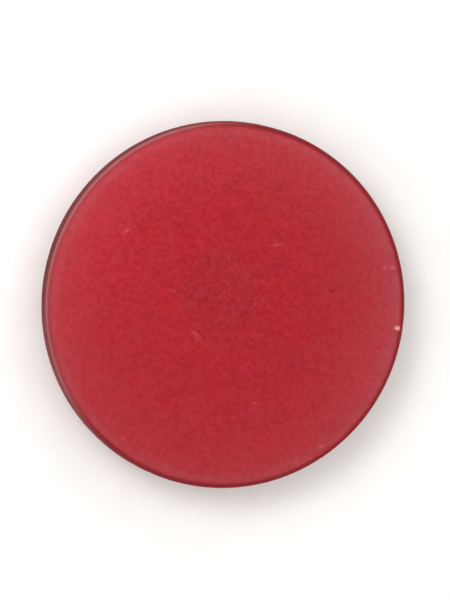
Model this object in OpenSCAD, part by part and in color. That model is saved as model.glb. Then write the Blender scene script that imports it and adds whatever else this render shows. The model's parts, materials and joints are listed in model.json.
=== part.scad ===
// Plain flat-faced shank button, moulded in one piece.
// A round face disc carries a short sewing post in the middle of its back,
// and thread passes through the hole across the post.
// Millimetres, +Z out of the face. The origin is the middle of the post's
// flat end, on which the button stands.

/* [Face disc] */
// Diameter of the button
button_d = 28; // [20:0.5:40]
// Thickness of the disc
disc_t = 2.1; // [1.6:0.1:4]
// Radius on the edge of the face
face_edge_r = 0.35; // [0.1:0.05:0.6]
// Radius on the edge of the back
back_edge_r = 0.5; // [0.1:0.05:0.8]

/* [Sewing post] */
// Diameter of the round post
post_d = 6.2; // [5.5:0.1:9]
// Width across the post's two flats, which the thread hole joins
flats_w = 4.4; // [3.4:0.1:5]
// Radius on the edge of the post's flat end
post_end_r = 0.35; // [0.1:0.05:0.5]
// Radius of the fillet where the post meets the back
post_root_r = 0.6; // [0.2:0.05:1]
// Height of the round collar left between the flats and that fillet
collar_h = 0.2; // [0.1:0.05:0.6]

/* [Thread hole] */
// Diameter of the thread hole
hole_d = 2.2; // [1.4:0.1:3]
// Wall between the hole and the post's flat end
hole_end_wall = 0.8; // [0.6:0.05:1.6]
// Height of the flats above the hole
hole_top_web = 0.4; // [0.35:0.05:1]
// Chamfer around each mouth of the hole
hole_chamfer = 0.25; // [0.1:0.05:0.3]

/* [Hidden] */
$fn = 96;

// Overlap that lets a cut run clear past the surface it opens
past = 0.1;

button_r = button_d / 2;
post_r = post_d / 2;

// Heights above the post's flat end
hole_z = hole_end_wall + hole_d / 2;
flats_top_z = hole_end_wall + hole_d + hole_top_web;
root_z = flats_top_z + collar_h;
back_z = root_z + post_root_r;
face_z = back_z + disc_t;

// Half of the button's turned section. The straight outline has its outer corners
// cut off, and a circle in each gives the rounded edge.
// The post's root keeps a square block, and a circle cut from it leaves the fillet.
module half_section() {
    root_r = post_r + post_root_r;
    difference() {
        union() {
            polygon([
                [0, 0],
                [post_r - post_end_r, 0],
                [post_r, post_end_r],
                [post_r, root_z],
                [root_r, root_z],
                [root_r, back_z],
                [button_r - back_edge_r, back_z],
                [button_r, back_z + back_edge_r],
                [button_r, face_z - face_edge_r],
                [button_r - face_edge_r, face_z],
                [0, face_z]
            ]);
            translate([post_r - post_end_r, post_end_r]) circle(post_end_r);
            translate([button_r - back_edge_r, back_z + back_edge_r]) circle(back_edge_r);
            translate([button_r - face_edge_r, face_z - face_edge_r]) circle(face_edge_r);
        }
        translate([root_r, root_z]) circle(post_root_r);
    }
}

// Outline of the post between its flats, seen along Y, with a rounded end
module flats_outline() {
    half_w = flats_w / 2;
    polygon([
        [-half_w, post_end_r],
        [-half_w + post_end_r, 0],
        [half_w - post_end_r, 0],
        [half_w, post_end_r],
        [half_w, flats_top_z + past],
        [-half_w, flats_top_z + past]
    ]);
    for (side = [-1, 1])
        translate([side * (half_w - post_end_r), post_end_r]) circle(post_end_r);
}

// Space that the flatted post and everything above it may fill
module flatted_envelope() {
    rotate([90, 0, 0])
        linear_extrude(post_d + 2 * past, center = true) flats_outline();
    translate([0, 0, flats_top_z])
        cylinder(r = button_r + past, h = face_z - flats_top_z + past);
}

// Hole for the thread, along X, with a chamfered mouth on each flat
module thread_hole() {
    hole_r = hole_d / 2;
    half_w = flats_w / 2;
    mouth_r = hole_r + hole_chamfer + past;
    translate([0, 0, hole_z])
        rotate([0, 90, 0])
            rotate_extrude()
                polygon([
                    [0, -half_w - past],
                    [mouth_r, -half_w - past],
                    [hole_r, -half_w + hole_chamfer],
                    [hole_r, half_w - hole_chamfer],
                    [mouth_r, half_w + past],
                    [0, half_w + past]
                ]);
}

module button() {
    color("#b23038")
        difference() {
            intersection() {
                rotate_extrude() half_section();
                flatted_envelope();
            }
            thread_hole();
        }
}

button();
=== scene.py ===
"""Looks of the red shank button: its moulded body, plastic with wear and with painted light and shade, a
pale table, soft light and the camera.
"""
import json
import math

import bmesh
import bpy
from mathutils import Matrix, Vector


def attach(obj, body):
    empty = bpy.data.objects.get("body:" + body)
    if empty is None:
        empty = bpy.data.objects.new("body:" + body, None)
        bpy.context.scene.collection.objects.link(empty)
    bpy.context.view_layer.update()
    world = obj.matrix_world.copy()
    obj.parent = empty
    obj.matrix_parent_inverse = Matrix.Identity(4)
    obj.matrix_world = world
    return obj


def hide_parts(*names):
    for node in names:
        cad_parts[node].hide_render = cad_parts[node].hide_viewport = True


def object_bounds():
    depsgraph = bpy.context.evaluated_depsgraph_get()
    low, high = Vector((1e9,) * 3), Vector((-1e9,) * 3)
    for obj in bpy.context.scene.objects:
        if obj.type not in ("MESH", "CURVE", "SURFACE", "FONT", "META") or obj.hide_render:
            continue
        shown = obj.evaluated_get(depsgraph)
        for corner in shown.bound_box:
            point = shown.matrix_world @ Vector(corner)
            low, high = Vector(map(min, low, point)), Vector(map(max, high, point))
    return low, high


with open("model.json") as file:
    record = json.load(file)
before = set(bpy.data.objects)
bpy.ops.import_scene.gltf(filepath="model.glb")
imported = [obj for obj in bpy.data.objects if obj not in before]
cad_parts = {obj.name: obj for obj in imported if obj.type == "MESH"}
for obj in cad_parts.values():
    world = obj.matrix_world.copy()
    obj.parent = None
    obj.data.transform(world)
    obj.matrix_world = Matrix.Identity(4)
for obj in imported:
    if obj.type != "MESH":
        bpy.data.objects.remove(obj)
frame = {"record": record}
cad_low, cad_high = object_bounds()

MM = 0.001

# Sizes in millimetres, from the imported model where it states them
thread_hole = next(m for m in frame["record"]["mounts"] if m["name"] == "thread_hole")
BUTTON_R = cad_high.x / MM
FACE_Z = cad_high.z / MM
HOLE_R = thread_hole["dims"]["r_mm"]
HOLE_Z = thread_hole["pos_m"][2] / MM
HOLE_CHAMFER = 0.25
FLAT_X = thread_hole["dims"]["length_mm"] / 2 + HOLE_CHAMFER
DISC_T = 2.1
FACE_EDGE_R = 0.35
BACK_EDGE_R = 0.5
POST_R = 3.1
POST_END_R = 0.35
POST_ROOT_R = 0.6
COLLAR_H = 0.2
BACK_Z = FACE_Z - DISC_T
ROOT_Z = BACK_Z - POST_ROOT_R
FLATS_TOP_Z = ROOT_Z - COLLAR_H

# Shallow sink mark in the face, where the thick post cooled behind it
SINK_R = 3.4
SINK_DEPTH = 0.025

# Divisions of the mesh
SEGMENTS = 360
EIGHTH = SEGMENTS // 8
FACE_RINGS = 40
EDGE_STEPS = 12
WALL_ROWS = 6
BACK_RINGS = 14
FLAT_ROWS = 24
FLAT_RINGS = 6
BORE_ROWS = 8
CAP_RINGS = 6
SHARP_DEG = 30

# Image that the camera frames, in pixels, and where the button's outline lies in it
IMAGE_H = 600
IMAGE_W = 450
OUTLINE_CENTRE_PX = (223.2, 304.5)
PIXELS_PER_MM = 13.10

# The camera stands off the button's axis by TILT, towards TILT_SIDE (from +X towards +Y)
TILT_DEG = 12.0
TILT_SIDE_DEG = 161.0
LENS_MM = 600.0
SENSOR_MM = 36.0
CLIP_START_M = 0.01
CLIP_END_M = 10.0

# Marks on the face: pixel x and y, length and width in millimetres, angle from +X in degrees,
# and strength, which is negative for a dark mark
FACE_MARKS = {
    "scratch": (194.5, 333.3, 0.6, 0.19, -32, 0.42),
    "scratch_scuff": (198.0, 338.5, 0.7, 0.5, -20, 0.13),
    "rising_speck": (126.6, 230.5, 0.8, 0.26, 30, 0.3),
    "level_streak": (277.2, 244.8, 1.1, 0.2, 4, 0.28),
    "low_speck": (321.7, 446.3, 0.5, 0.22, 8, 0.5),
    "rim_speck_a": (384.8, 267.6, 0.34, 0.3, 0, 0.45),
    "rim_speck_b": (392.5, 267.6, 0.34, 0.34, 0, 0.65),
    "dark_speck": (332.7, 290.8, 0.32, 0.28, 0, -1.0),
    "fine_speck_a": (254.0, 403.0, 0.3, 0.22, 0, 0.3),
    "fine_speck_b": (123.4, 438.7, 0.3, 0.26, 60, 0.3),
    "fine_speck_c": (174.4, 290.7, 0.28, 0.22, 0, 0.25),
    "fine_speck_d": (263.8, 300.8, 0.26, 0.2, 0, 0.25),
    "fine_speck_e": (255.7, 303.6, 0.28, 0.2, 0, 0.2),
    "dark_dash_a": (227.3, 287.4, 0.5, 0.13, 0, -0.6),
    "dark_dash_b": (215.8, 287.6, 0.4, 0.12, 0, -0.5),
}

# Where a mark starts and where it is full, in its own half sizes from its middle, and its uneven border
MARK_FADE = (1.4, 0.35)
WOBBLE = 1.6
WOBBLE_SCALE = 7.0
WOBBLE_DETAIL = 3.0
PALE_MARK = (0.64, 0.130, 0.150, 1)
DARK_MARK = (0.27, 0.0, 0.002, 1)

# Chips in the face: pixel x and y, radius of the hollow and its depth in millimetres.
# In radii, the mesh is made finer within CHIP_REACH, and the pale mark of chipped plastic, with a painted
# glint in it, is CHIP_MARK long and wide.
CHIPS = {
    "edge_chip": (397.4, 328.1, 0.22, 0.06),
}
CHIP_REACH = 2.5
CHIP_CUTS = 5
CHIP_MARK = (1.9, 1.5)
# Pale chipped plastic with a painted glint
CHIP_PALE_AND_GLINT = (0.80, 0.37, 0.38, 1)

# Darker and lighter grains of the plastic, and the slow drift of its hue. Noise scales are per millimetre.
RED_DIM = (0.334, 0.0006, 0.0067, 1)
RED_BRIGHT = (0.411, 0.0131, 0.0262, 1)
GRAIN_SCALE = 2.5
GRAIN_DETAIL = 5.0
GRAIN_ROUGHNESS = 0.97
GRAIN_LIMITS = (0.42, 0.58)
HUE_DRIFT = (0.080, 0.009, 0.013)
DRIFT_SCALE = 0.6

# Painted shade: a darker round patch where the post shows through the face, blocking light that passes
# through the plastic
PATCH_PX = (219.0, 291.0)
PATCH_R = 3.1
PATCH_SOFT = 0.7
POST_SHADE_TINT = (0.935, 1.27, 1.10, 1)

# Heights between which the painted glare on the face fades in, and between which the wall's painted shade
# does
ON_FACE_Z = (FACE_Z - FACE_EDGE_R, FACE_Z - FACE_EDGE_R * 0.4)
ON_WALL_Z = (FACE_Z - FACE_EDGE_R * 0.3, FACE_Z - FACE_EDGE_R * 0.8)

# Side towards the light, on which the painted glare at the rim and the line inside the edge are lighter, and
# the distances along it over which that changes
LIT_SIDE = (-0.707, 0.707, 0.0)
LIT_LIMITS = (-7.0, -1.0)

# Painted glare that grows towards the rim: less of it low on the face, more towards HAZE_SIDE, and cloudy;
# its colour is lighter towards the light
RIM_GLARE_LIT = (0.86, 0.31, 0.40, 1)
RIM_GLARE_SHADED = (0.64, 0.30, 0.39, 1)
HAZE_R = 13.05
HAZE_POWER = 4.2
HAZE_SHARE = 0.074
HAZE_LOW_SHARE = 0.6
HAZE_LOW_Y = (-12.0, -3.0)
HAZE_SIDE = (0.94, -0.34, 0.0)
HAZE_SIDE_LIMITS = (-9.0, 9.0)
HAZE_SIDE_SHARES = (0.82, 1.32)
CLOUD_SCALE = 0.7
CLOUD_DETAIL = 6.0
CLOUD_ROUGHNESS = 0.9
CLOUD_LIMITS = (0.35, 0.65)
CLOUD_SHARES = (0.8, 1.2)

# Painted glare: a paler line just inside the edge of the face, lighter towards the light
GLARE_LINE_LIT = (0.06, 0.18, 0.20, 1)
GLARE_LINE_SHADED = (0.0, 0.18, 0.20, 1)
PALE_LINE_R = 13.3
PALE_LINE_W = 0.6
PALE_LINE_SHARE = 0.075

# Painted shade on the rounded edge, lighter on the side towards the light; its outer line, with a painted
# highlight on that side and painted shade elsewhere; and painted shade on the wall below it, lighter towards
# -Y
EDGE_SHADE = (0.175, 0.0125, 0.018, 1)
EDGE_LIT = (0.228, 0.032, 0.038, 1)
EDGE_R = 13.70
EDGE_LIMITS = (EDGE_R - 0.22, EDGE_R + 0.10)
SHADED_EDGE = (0.180, 0.018, 0.025, 1)
EDGE_HIGHLIGHT = (0.280, 0.106, 0.111, 1)
OUTER_LIMITS = (BUTTON_R - 0.28, BUTTON_R - 0.12)
LIT_EDGE_SIDE = (-0.891, 0.454, 0.0)
LIT_EDGE_LIMITS = (3.5, 9.5)
WALL_SHADE = (0.112, 0.018, 0.021, 1)
WALL_SHADE_LOWER = (0.165, 0.034, 0.038, 1)
WALL_LOW_Y = (4.0, -6.0)

# Gloss, light that goes into the plastic, and the fine unevenness of its surface
FACE_ROUGHNESS = (0.28, 0.36)
ROUGHNESS_SCALE = 0.6
ROUGHNESS_DETAIL = 4.0
ROUGHNESS_LIMITS = (0.3, 0.7)
WALL_ROUGHNESS = 0.9
ROUGH_EDGE_LIMITS = (EDGE_R, BUTTON_R - 0.2)
SPECULAR = 0.134
SUBSURFACE_RADIUS = (1.0, 0.08, 0.1)
SUBSURFACE_MM = 2.0
BUMP_SCALE = 3.5
BUMP_DETAIL = 3.0
BUMP_STRENGTH = 0.05
BUMP_MM = 0.05

# Table, with a faint grain per metre
TABLE_DIM = (0.86, 0.86, 0.86, 1)
TABLE_PALE = (0.92, 0.92, 0.92, 1)
TABLE_GRAIN_SCALE = 400.0
TABLE_GRAIN_DETAIL = 4.0
TABLE_ROUGHNESS = 0.85
TABLE_SPECULAR = 0.1
TABLE_HALF_M = 0.6

# Even light from all round, stronger overhead, and a soft lamp high up towards the picture's upper left
EVEN_LIGHT = (0.442, 0.434, 0.419, 1)
OVERHEAD_LIGHT = (1.785, 1.752, 1.690, 1)
OVERHEAD_POWER = 4.0
LAMP_LEVEL = 11.5
LAMP_SIDE_DEG = 143.0
LAMP_RISE_DEG = 59.0
LAMP_POWER = 60.0

# Small soft light near the button on that side, in metres and watts
KEY_PLACE = (-0.0117, 0.0124, 0.0180)
KEY_SIZE = 0.020
KEY_POWER = 0.00100


def camera_axes():
    """Directions back to the camera, right and up in the picture, with +Y up."""
    tilt = math.radians(TILT_DEG)
    side = math.radians(TILT_SIDE_DEG)
    back = Vector((math.sin(tilt) * math.cos(side), math.sin(tilt) * math.sin(side), math.cos(tilt)))
    right = Vector((0, 1, 0)).cross(back).normalized()
    return back, right, back.cross(right)


def camera_place():
    """Camera's place in millimetres, such that the outline lies where the picture has it."""
    back, right, up = camera_axes()
    distance = IMAGE_H / PIXELS_PER_MM * LENS_MM / SENSOR_MM
    offset_x = (IMAGE_W / 2 - OUTLINE_CENTRE_PX[0]) / PIXELS_PER_MM
    offset_y = (OUTLINE_CENTRE_PX[1] - IMAGE_H / 2) / PIXELS_PER_MM
    aim = Vector((0, 0, FACE_Z - DISC_T / 2))
    return aim + back * distance + right * offset_x + up * offset_y


def add_camera():
    back, right, up = camera_axes()
    data = bpy.data.cameras.new("camera")
    data.lens = LENS_MM
    data.sensor_width = SENSOR_MM
    data.clip_start = CLIP_START_M
    data.clip_end = CLIP_END_M
    camera = bpy.data.objects.new("camera", data)
    turn = Matrix((right, up, back)).transposed().to_4x4()
    camera.matrix_world = Matrix.Translation(camera_place() * MM) @ turn
    bpy.context.scene.collection.objects.link(camera)
    bpy.context.scene.camera = camera


def face_point(pixel_x, pixel_y):
    """Point of the face's plane, in millimetres, that a pixel of the picture shows."""
    back, right, up = camera_axes()
    place = camera_place()
    pitch = SENSOR_MM / IMAGE_H
    ray = right * (pixel_x - IMAGE_W / 2) * pitch + up * (IMAGE_H / 2 - pixel_y) * pitch - back * LENS_MM
    return place + ray * ((FACE_Z - place.z) / ray.z)


def steps(start, end, count):
    """Values from start to end in so many equal steps, without start itself."""
    return [start + (end - start) * k / count for k in range(1, count + 1)]


def arc(centre_r, centre_z, radius, start_deg, end_deg):
    """Points (r, z) of a rounded edge, without the first one."""
    angles = [math.radians(a) for a in steps(start_deg, end_deg, EDGE_STEPS)]
    return [(centre_r + radius * math.cos(a), centre_z + radius * math.sin(a)) for a in angles]


def sink(r):
    """Depth of the sink mark at a radius."""
    return SINK_DEPTH * 0.5 * (1 + math.cos(math.pi * r / SINK_R)) if r < SINK_R else 0


def turned_section():
    """Points (r, z) of the turned part, from near the middle of the face round to the foot of the collar."""
    edge_r = BUTTON_R - FACE_EDGE_R
    back_r = BUTTON_R - BACK_EDGE_R
    root_r = POST_R + POST_ROOT_R
    points = [(r, FACE_Z - sink(r)) for r in steps(0, edge_r, FACE_RINGS)]
    points += arc(edge_r, FACE_Z - FACE_EDGE_R, FACE_EDGE_R, 90, 0)
    points += [(BUTTON_R, z) for z in steps(FACE_Z - FACE_EDGE_R, BACK_Z + BACK_EDGE_R, WALL_ROWS)]
    points += arc(back_r, BACK_Z + BACK_EDGE_R, BACK_EDGE_R, 0, -90)
    points += [(r, BACK_Z) for r in steps(back_r, root_r, BACK_RINGS)]
    points += arc(root_r, ROOT_Z, POST_ROOT_R, 90, 180)
    points += [(POST_R, FLATS_TOP_Z)]
    return points


def post_angles(inset):
    """Angle of each segment, such that the corners of the flats fall on segments."""
    corner = math.acos((FLAT_X - inset) / (POST_R - inset))
    first = [corner * k / EIGHTH for k in range(EIGHTH)]
    second = [corner + (math.pi / 2 - corner) * k / EIGHTH for k in range(EIGHTH)]
    quarter = first + second
    half = quarter + [math.pi / 2] + [math.pi - a for a in reversed(quarter[1:])]
    return half + [a + math.pi for a in half]


def post_ring(inset, z, scale=1.0):
    """Points of the flatted post's outline, moved in by the inset."""
    points = []
    for angle in post_angles(inset):
        reach = min(POST_R - inset, (FLAT_X - inset) / max(abs(math.cos(angle)), 1e-6)) * scale
        points.append(Vector((reach * math.cos(angle), reach * math.sin(angle), z)))
    return points


def in_flat(segment):
    """Whether a segment's point lies between the corners of a flat."""
    return 0 < (segment + EIGHTH) % (SEGMENTS // 2) < 2 * EIGHTH


def bridge(bm, first, second, closed=True):
    """Quads between two rows of as many points, or triangles where they share one."""
    count = len(first)
    for k in range(count if closed else count - 1):
        n = (k + 1) % count
        corners = [first[k], first[n], second[n], second[k]]
        unique = [v for i, v in enumerate(corners) if v not in corners[:i]]
        if len(unique) > 2:
            bm.faces.new(unique)


def fan(bm, ring, centre):
    """Triangles from a ring of points to its middle."""
    middle = bm.verts.new(centre)
    for k, vert in enumerate(ring):
        bm.faces.new((middle, vert, ring[(k + 1) % len(ring)]))


def add_turned_part(bm):
    """Disc, root fillet and collar. Returns the ring of points at the collar's foot."""
    angles = post_angles(0)
    ring = None
    for r, z in turned_section():
        new = [bm.verts.new((r * math.cos(a), r * math.sin(a), z)) for a in angles]
        if ring is None:
            fan(bm, new, (0, 0, FACE_Z - SINK_DEPTH))
        else:
            bridge(bm, ring, new)
        ring = new
    return ring


def add_post(bm, collar):
    """Flatted post below the collar, up to its two flats. Returns the outline of each flat."""
    top = list(collar)
    for k, point in enumerate(post_ring(0, FLATS_TOP_Z)):
        if in_flat(k):
            top[k] = bm.verts.new(point)
    bridge(bm, collar, top)
    rows = [top]
    corners = [EIGHTH, 3 * EIGHTH, 5 * EIGHTH, 7 * EIGHTH]
    for z in steps(FLATS_TOP_Z, POST_END_R, FLAT_ROWS):
        last = len(rows) == FLAT_ROWS
        row = [bm.verts.new(p) if last or not in_flat(k) else None for k, p in enumerate(post_ring(0, z))]
        for start in (corners[0], corners[2]):
            side = slice(start, start + 2 * EIGHTH + 1)
            bridge(bm, rows[-1][side], row[side], closed=False)
        rows.append(row)
    end = rows[-1]
    for angle in steps(0, 90, EDGE_STEPS):
        inset = POST_END_R * (1 - math.cos(math.radians(angle)))
        z = POST_END_R * (1 - math.sin(math.radians(angle)))
        new = [bm.verts.new(p) for p in post_ring(inset, z)]
        bridge(bm, end, new)
        end = new
    for k in range(1, CAP_RINGS):
        new = [bm.verts.new(p) for p in post_ring(POST_END_R, 0, 1 - k / CAP_RINGS)]
        bridge(bm, end, new)
        end = new
    fan(bm, end, (0, 0, 0))
    return [flat_outline(rows, corners[3], corners[0]), flat_outline(rows, corners[1], corners[2])]


def flat_outline(rows, first, last):
    """Closed loop of points round a flat, from corner to corner along the top and back along the foot."""
    span = (last - first) % SEGMENTS
    along = [(first + k) % SEGMENTS for k in range(span + 1)]
    loop = [rows[0][k] for k in along]
    loop += [row[last] for row in rows[1:]]
    loop += [rows[-1][k] for k in reversed(along[:-1])]
    loop += [row[first] for row in reversed(rows[1:-1])]
    return loop


def add_flat(bm, loop):
    """Flat face from its outline in to the hole's chamfered mouth. Returns the bore's first ring."""
    side = math.copysign(1, loop[0].co.x)
    around = [math.atan2(v.co.z - HOLE_Z, v.co.y) for v in loop]

    def circle(radius, x):
        return [Vector((side * x, radius * math.cos(a), HOLE_Z + radius * math.sin(a))) for a in around]

    mouth = circle(HOLE_R + HOLE_CHAMFER, FLAT_X)
    ring = loop
    for k in range(1, FLAT_RINGS + 1):
        new = [bm.verts.new(v.co.lerp(m, k / FLAT_RINGS)) for v, m in zip(loop, mouth)]
        bridge(bm, ring, new)
        ring = new
    bore = [bm.verts.new(p) for p in circle(HOLE_R, FLAT_X - HOLE_CHAMFER)]
    bridge(bm, ring, bore)
    return bore


def add_bore(bm, first, second):
    """Thread hole between the two flats. The second ring runs the other way round, mirrored in X."""
    match = {(round(v.co.y, 4), round(v.co.z, 4)): v for v in second}
    far = [match[(round(v.co.y, 4), round(v.co.z, 4))] for v in first]
    ring = first
    for k in range(1, BORE_ROWS):
        new = [bm.verts.new(a.co.lerp(b.co, k / BORE_ROWS)) for a, b in zip(first, far)]
        bridge(bm, ring, new)
        ring = new
    bridge(bm, ring, far)


def hollow(bm, pixel_x, pixel_y, radius, depth):
    """Press a small round hollow into the face, after making the mesh finer around it."""
    middle = face_point(pixel_x, pixel_y)
    near = [e for e in bm.edges if all((v.co - middle).length < CHIP_REACH * radius for v in e.verts)]
    bmesh.ops.subdivide_edges(bm, edges=near, cuts=CHIP_CUTS, use_grid_fill=True)
    for vert in bm.verts:
        away = (vert.co - middle).length / radius
        if away < 1:
            vert.co.z -= depth * (1 - away * away) ** 2


def add_button():
    bm = bmesh.new()
    collar = add_turned_part(bm)
    flats = add_post(bm, collar)
    bores = [add_flat(bm, loop) for loop in flats]
    add_bore(bm, *bores)
    for chip in CHIPS.values():
        hollow(bm, *chip)
    bmesh.ops.recalc_face_normals(bm, faces=bm.faces)
    bmesh.ops.scale(bm, vec=(MM, MM, MM), verts=bm.verts)
    mesh = bpy.data.meshes.new("moulded_button")
    bm.to_mesh(mesh)
    bm.free()
    mesh.shade_smooth()
    mesh.set_sharp_from_angle(angle=math.radians(SHARP_DEG))
    button = bpy.data.objects.new("moulded_button", mesh)
    bpy.context.scene.collection.objects.link(button)
    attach(button, "root")
    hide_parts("button")
    return button


class Nodes:
    """Short calls that make and link the nodes of one material."""

    def __init__(self, tree):
        self.tree = tree

    def fill(self, node, inputs):
        """Set or link a node's inputs, by number or name."""
        for name, value in inputs.items():
            if isinstance(value, bpy.types.NodeSocket):
                self.tree.links.new(value, node.inputs[name])
            else:
                node.inputs[name].default_value = value

    def add(self, kind, inputs, output=0, **settings):
        """New node with its settings and inputs. Returns one output."""
        made = self.tree.nodes.new(kind)
        for name, value in settings.items():
            setattr(made, name, value)
        self.fill(made, inputs)
        return made.outputs[output]

    def math(self, operation, a, b=0.0):
        return self.add("ShaderNodeMath", {0: a, 1: b}, operation=operation)

    def vector(self, operation, a, b):
        return self.add("ShaderNodeVectorMath", {0: a, 1: b}, operation=operation)

    def length(self, vector):
        return self.add("ShaderNodeVectorMath", {0: vector}, "Value", operation="LENGTH")

    def along(self, vector, way):
        """How far a vector reaches along a direction."""
        return self.add("ShaderNodeVectorMath", {0: vector, 1: way}, "Value", operation="DOT_PRODUCT")

    def part(self, vector, axis):
        return self.add("ShaderNodeSeparateXYZ", {0: vector}, axis)

    def rise(self, value, start, end, low=0.0, high=1.0):
        """Smooth change from low to high as the value goes from start to end."""
        inputs = {"Value": value, "From Min": start, "From Max": end, "To Min": low, "To Max": high}
        return self.add("ShaderNodeMapRange", inputs, interpolation_type="SMOOTHSTEP")

    def mix(self, factor, a, b, blend="MIX"):
        inputs = {0: factor, 6: a, 7: b}
        return self.add("ShaderNodeMix", inputs, 2, data_type="RGBA", blend_type=blend)

    def noise(self, place, scale, detail=2.0, roughness=0.5, output=0):
        inputs = {"Vector": place, "Scale": scale, "Detail": detail, "Roughness": roughness}
        return self.add("ShaderNodeTexNoise", inputs, output)


def new_material(name):
    """New material. Returns it, its short calls and its shader."""
    material = bpy.data.materials.new(name)
    material.use_nodes = True
    tree = material.node_tree
    return material, Nodes(tree), tree.nodes["Principled BSDF"]


def grained_red_and_post_shade(nodes, place):
    """Colour of the plastic without wear: grain, drift of hue, and the darker patch of painted shade where
    the post lies behind the face.
    """
    grain = nodes.noise(place, GRAIN_SCALE, GRAIN_DETAIL, GRAIN_ROUGHNESS)
    colour = nodes.mix(nodes.rise(grain, *GRAIN_LIMITS), RED_DIM, RED_BRIGHT)
    drift = nodes.vector("SUBTRACT", nodes.noise(place, DRIFT_SCALE, output="Color"), (0.5, 0.5, 0.5))
    colour = nodes.vector("ADD", colour, nodes.vector("MULTIPLY", drift, HUE_DRIFT))
    # Painted shade of the post behind the face
    from_patch = nodes.length(nodes.vector("SUBTRACT", place, face_point(*PATCH_PX)))
    patch = nodes.rise(from_patch, PATCH_R + PATCH_SOFT, PATCH_R - PATCH_SOFT)
    return nodes.mix(patch, colour, POST_SHADE_TINT, "MULTIPLY")


def painted_glare_towards_rim(nodes, colour, place, radius):
    """Painted glare over the face, growing towards the rim and lighter towards the light, and the painted
    glare line inside its edge.
    """
    on_face = nodes.rise(nodes.part(place, "Z"), *ON_FACE_Z)
    lit_rim = nodes.rise(nodes.along(place, LIT_SIDE), *LIT_LIMITS)

    # Painted glare that grows towards the rim
    haze = nodes.math("POWER", nodes.math("DIVIDE", radius, HAZE_R), HAZE_POWER)
    share = nodes.rise(nodes.part(place, "Y"), *HAZE_LOW_Y, HAZE_SHARE * HAZE_LOW_SHARE, HAZE_SHARE)
    cloud = nodes.noise(place, CLOUD_SCALE, CLOUD_DETAIL, CLOUD_ROUGHNESS)
    cloud_share = nodes.rise(cloud, *CLOUD_LIMITS, *CLOUD_SHARES)
    side_share = nodes.rise(nodes.along(place, HAZE_SIDE), *HAZE_SIDE_LIMITS, *HAZE_SIDE_SHARES)
    for factor in (share, cloud_share, side_share, on_face):
        haze = nodes.math("MULTIPLY", haze, factor)
    # Lighter copy of the painted glare towards the light, duller copy away from it
    colour = nodes.mix(haze, colour, nodes.mix(lit_rim, RIM_GLARE_SHADED, RIM_GLARE_LIT))

    # Painted glare line just inside the edge, lighter towards the light
    from_line = nodes.math("ABSOLUTE", nodes.math("SUBTRACT", radius, PALE_LINE_R))
    line = nodes.rise(from_line, PALE_LINE_W, 0.0, 0.0, PALE_LINE_SHARE)
    line_colour = nodes.mix(lit_rim, GLARE_LINE_SHADED, GLARE_LINE_LIT)
    return nodes.mix(nodes.math("MULTIPLY", line, on_face), colour, line_colour)


def edge_and_wall(nodes, colour, place, radius):
    """Painted shade on the rounded edge of the face and on the wall below it; on the edge's outer line, a
    painted highlight towards the light and painted shade elsewhere.
    """
    lit_edge = nodes.rise(nodes.along(place, LIT_EDGE_SIDE), *LIT_EDGE_LIMITS)
    edge = nodes.rise(radius, *EDGE_LIMITS)
    # Painted shade on the rounded edge, with a lighter copy towards the light
    colour = nodes.mix(edge, colour, nodes.mix(lit_edge, EDGE_SHADE, EDGE_LIT))
    on_wall = nodes.rise(nodes.part(place, "Z"), *ON_WALL_Z)
    # Painted shade on the wall, lighter towards -Y
    wall = nodes.mix(nodes.rise(nodes.part(place, "Y"), *WALL_LOW_Y), WALL_SHADE, WALL_SHADE_LOWER)
    colour = nodes.mix(nodes.math("MULTIPLY", edge, on_wall), colour, wall)
    off_wall = nodes.math("SUBTRACT", 1.0, on_wall)
    # Outer line of the edge: painted highlight towards the light, painted shade elsewhere
    outer = nodes.math("MULTIPLY", nodes.rise(radius, *OUTER_LIMITS), off_wall)
    return nodes.mix(outer, colour, nodes.mix(lit_edge, SHADED_EDGE, EDGE_HIGHLIGHT))


def mark_mask(nodes, place, wobble, pixel_x, pixel_y, length, width, angle):
    """1 in the middle of a mark's ellipse on the face, fading to 0 past its border."""
    inputs = {
        "Vector": place,
        "Location": face_point(pixel_x, pixel_y),
        "Rotation": (0, 0, math.radians(angle)),
        "Scale": (length / 2, width / 2, 1),
    }
    local = nodes.add("ShaderNodeMapping", inputs, vector_type="TEXTURE")
    return nodes.rise(nodes.math("ADD", nodes.length(local), wobble), *MARK_FADE)


def marked(nodes, colour, place):
    """Scratches and specks, and the pale marks of the chips, with a painted glint in them."""
    wobble = nodes.math("SUBTRACT", nodes.noise(place, WOBBLE_SCALE, WOBBLE_DETAIL), 0.5)
    wobble = nodes.math("MULTIPLY", wobble, WOBBLE)
    for *ellipse, strength in FACE_MARKS.values():
        mask = nodes.math("MULTIPLY", mark_mask(nodes, place, wobble, *ellipse), abs(strength))
        colour = nodes.mix(mask, colour, PALE_MARK if strength > 0 else DARK_MARK)
    for pixel_x, pixel_y, chip_radius, _ in CHIPS.values():
        length, width = (size * chip_radius for size in CHIP_MARK)
        mask = mark_mask(nodes, place, wobble, pixel_x, pixel_y, length, width, 0)
        colour = nodes.mix(mask, colour, CHIP_PALE_AND_GLINT)
    return colour


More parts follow.
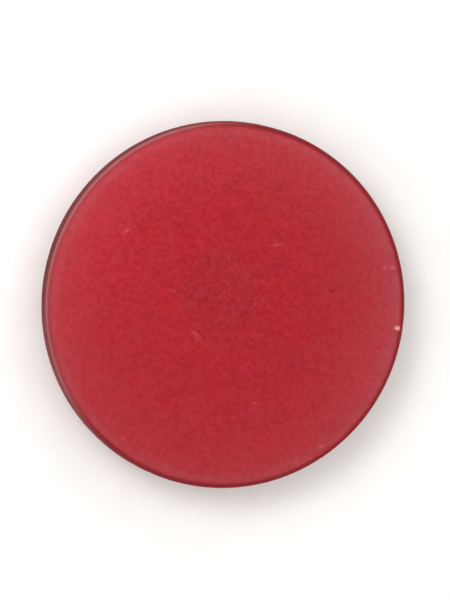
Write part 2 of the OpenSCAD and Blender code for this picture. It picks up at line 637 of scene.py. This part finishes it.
# Red plastic with its grain and real wear, and with painted light and shade in its colour
def red_plastic_wear_and_painted_light():
    material, nodes, shader = new_material("red_plastic_wear_and_painted_light")
    metres = nodes.add("ShaderNodeTexCoord", {}, "Object")
    place = nodes.vector("MULTIPLY", metres, (1 / MM, 1 / MM, 1 / MM))
    radius = nodes.length(nodes.vector("MULTIPLY", place, (1, 1, 0)))
    colour = grained_red_and_post_shade(nodes, place)
    colour = painted_glare_towards_rim(nodes, colour, place, radius)
    colour = edge_and_wall(nodes, colour, place, radius)
    colour = marked(nodes, colour, place)
    roughness = nodes.noise(place, ROUGHNESS_SCALE, ROUGHNESS_DETAIL)
    roughness = nodes.rise(roughness, *ROUGHNESS_LIMITS, *FACE_ROUGHNESS)
    rough_edge = nodes.rise(radius, *ROUGH_EDGE_LIMITS, 0.0, WALL_ROUGHNESS)
    uneven = nodes.noise(place, BUMP_SCALE, BUMP_DETAIL)
    bump = {"Height": uneven, "Strength": BUMP_STRENGTH, "Distance": BUMP_MM * MM}
    nodes.fill(shader, {
        "Base Color": colour,
        "Roughness": nodes.math("MAXIMUM", roughness, rough_edge),
        "Specular IOR Level": SPECULAR,
        "Subsurface Weight": 1.0,
        "Subsurface Radius": SUBSURFACE_RADIUS,
        "Subsurface Scale": SUBSURFACE_MM * MM,
        "Normal": nodes.add("ShaderNodeBump", bump),
    })
    return material


def pale_table():
    material, nodes, shader = new_material("pale_table")
    metres = nodes.add("ShaderNodeTexCoord", {}, "Object")
    grain = nodes.noise(metres, TABLE_GRAIN_SCALE, TABLE_GRAIN_DETAIL)
    nodes.fill(shader, {
        "Base Color": nodes.mix(grain, TABLE_DIM, TABLE_PALE),
        "Roughness": TABLE_ROUGHNESS,
        "Specular IOR Level": TABLE_SPECULAR,
    })
    return material


def add_floor():
    low, high = -TABLE_HALF_M, TABLE_HALF_M
    mesh = bpy.data.meshes.new("floor")
    mesh.from_pydata([(low, low, 0), (high, low, 0), (high, high, 0), (low, high, 0)], [], [(0, 1, 2, 3)])
    mesh.materials.append(pale_table())
    floor = bpy.data.objects.new("floor", mesh)
    bpy.context.scene.collection.objects.link(floor)


def add_sky():
    world = bpy.data.worlds.new("studio")
    bpy.context.scene.world = world
    world.use_nodes = True
    tree = world.node_tree
    nodes = Nodes(tree)
    way = nodes.add("ShaderNodeTexCoord", {}, "Generated")
    side, rise = math.radians(LAMP_SIDE_DEG), math.radians(LAMP_RISE_DEG)
    lamp_way = (math.cos(rise) * math.cos(side), math.cos(rise) * math.sin(side), math.sin(rise))
    near_lamp = nodes.math("MAXIMUM", nodes.along(way, lamp_way), 0.0)
    lamp = nodes.math("MULTIPLY", nodes.math("POWER", near_lamp, LAMP_POWER), LAMP_LEVEL)
    upward = nodes.math("MAXIMUM", nodes.part(way, "Z"), 0.0)
    sky = nodes.mix(nodes.math("POWER", upward, OVERHEAD_POWER), EVEN_LIGHT, OVERHEAD_LIGHT)
    nodes.fill(tree.nodes["Background"], {"Color": nodes.mix(1.0, sky, lamp, "ADD")})


def add_key():
    light = bpy.data.lights.new("key", "AREA")
    light.size = KEY_SIZE
    light.energy = KEY_POWER
    key = bpy.data.objects.new("key", light)
    place = Vector(KEY_PLACE)
    key.matrix_world = Matrix.Translation(place) @ place.to_track_quat("Z", "Y").to_matrix().to_4x4()
    bpy.context.scene.collection.objects.link(key)
    key.visible_camera = False
    key.visible_glossy = False


add_camera()
add_floor()
add_sky()
add_key()
bpy.context.scene.view_settings.view_transform = "Standard"
button = add_button()
button.data.materials.append(red_plastic_wear_and_painted_light())
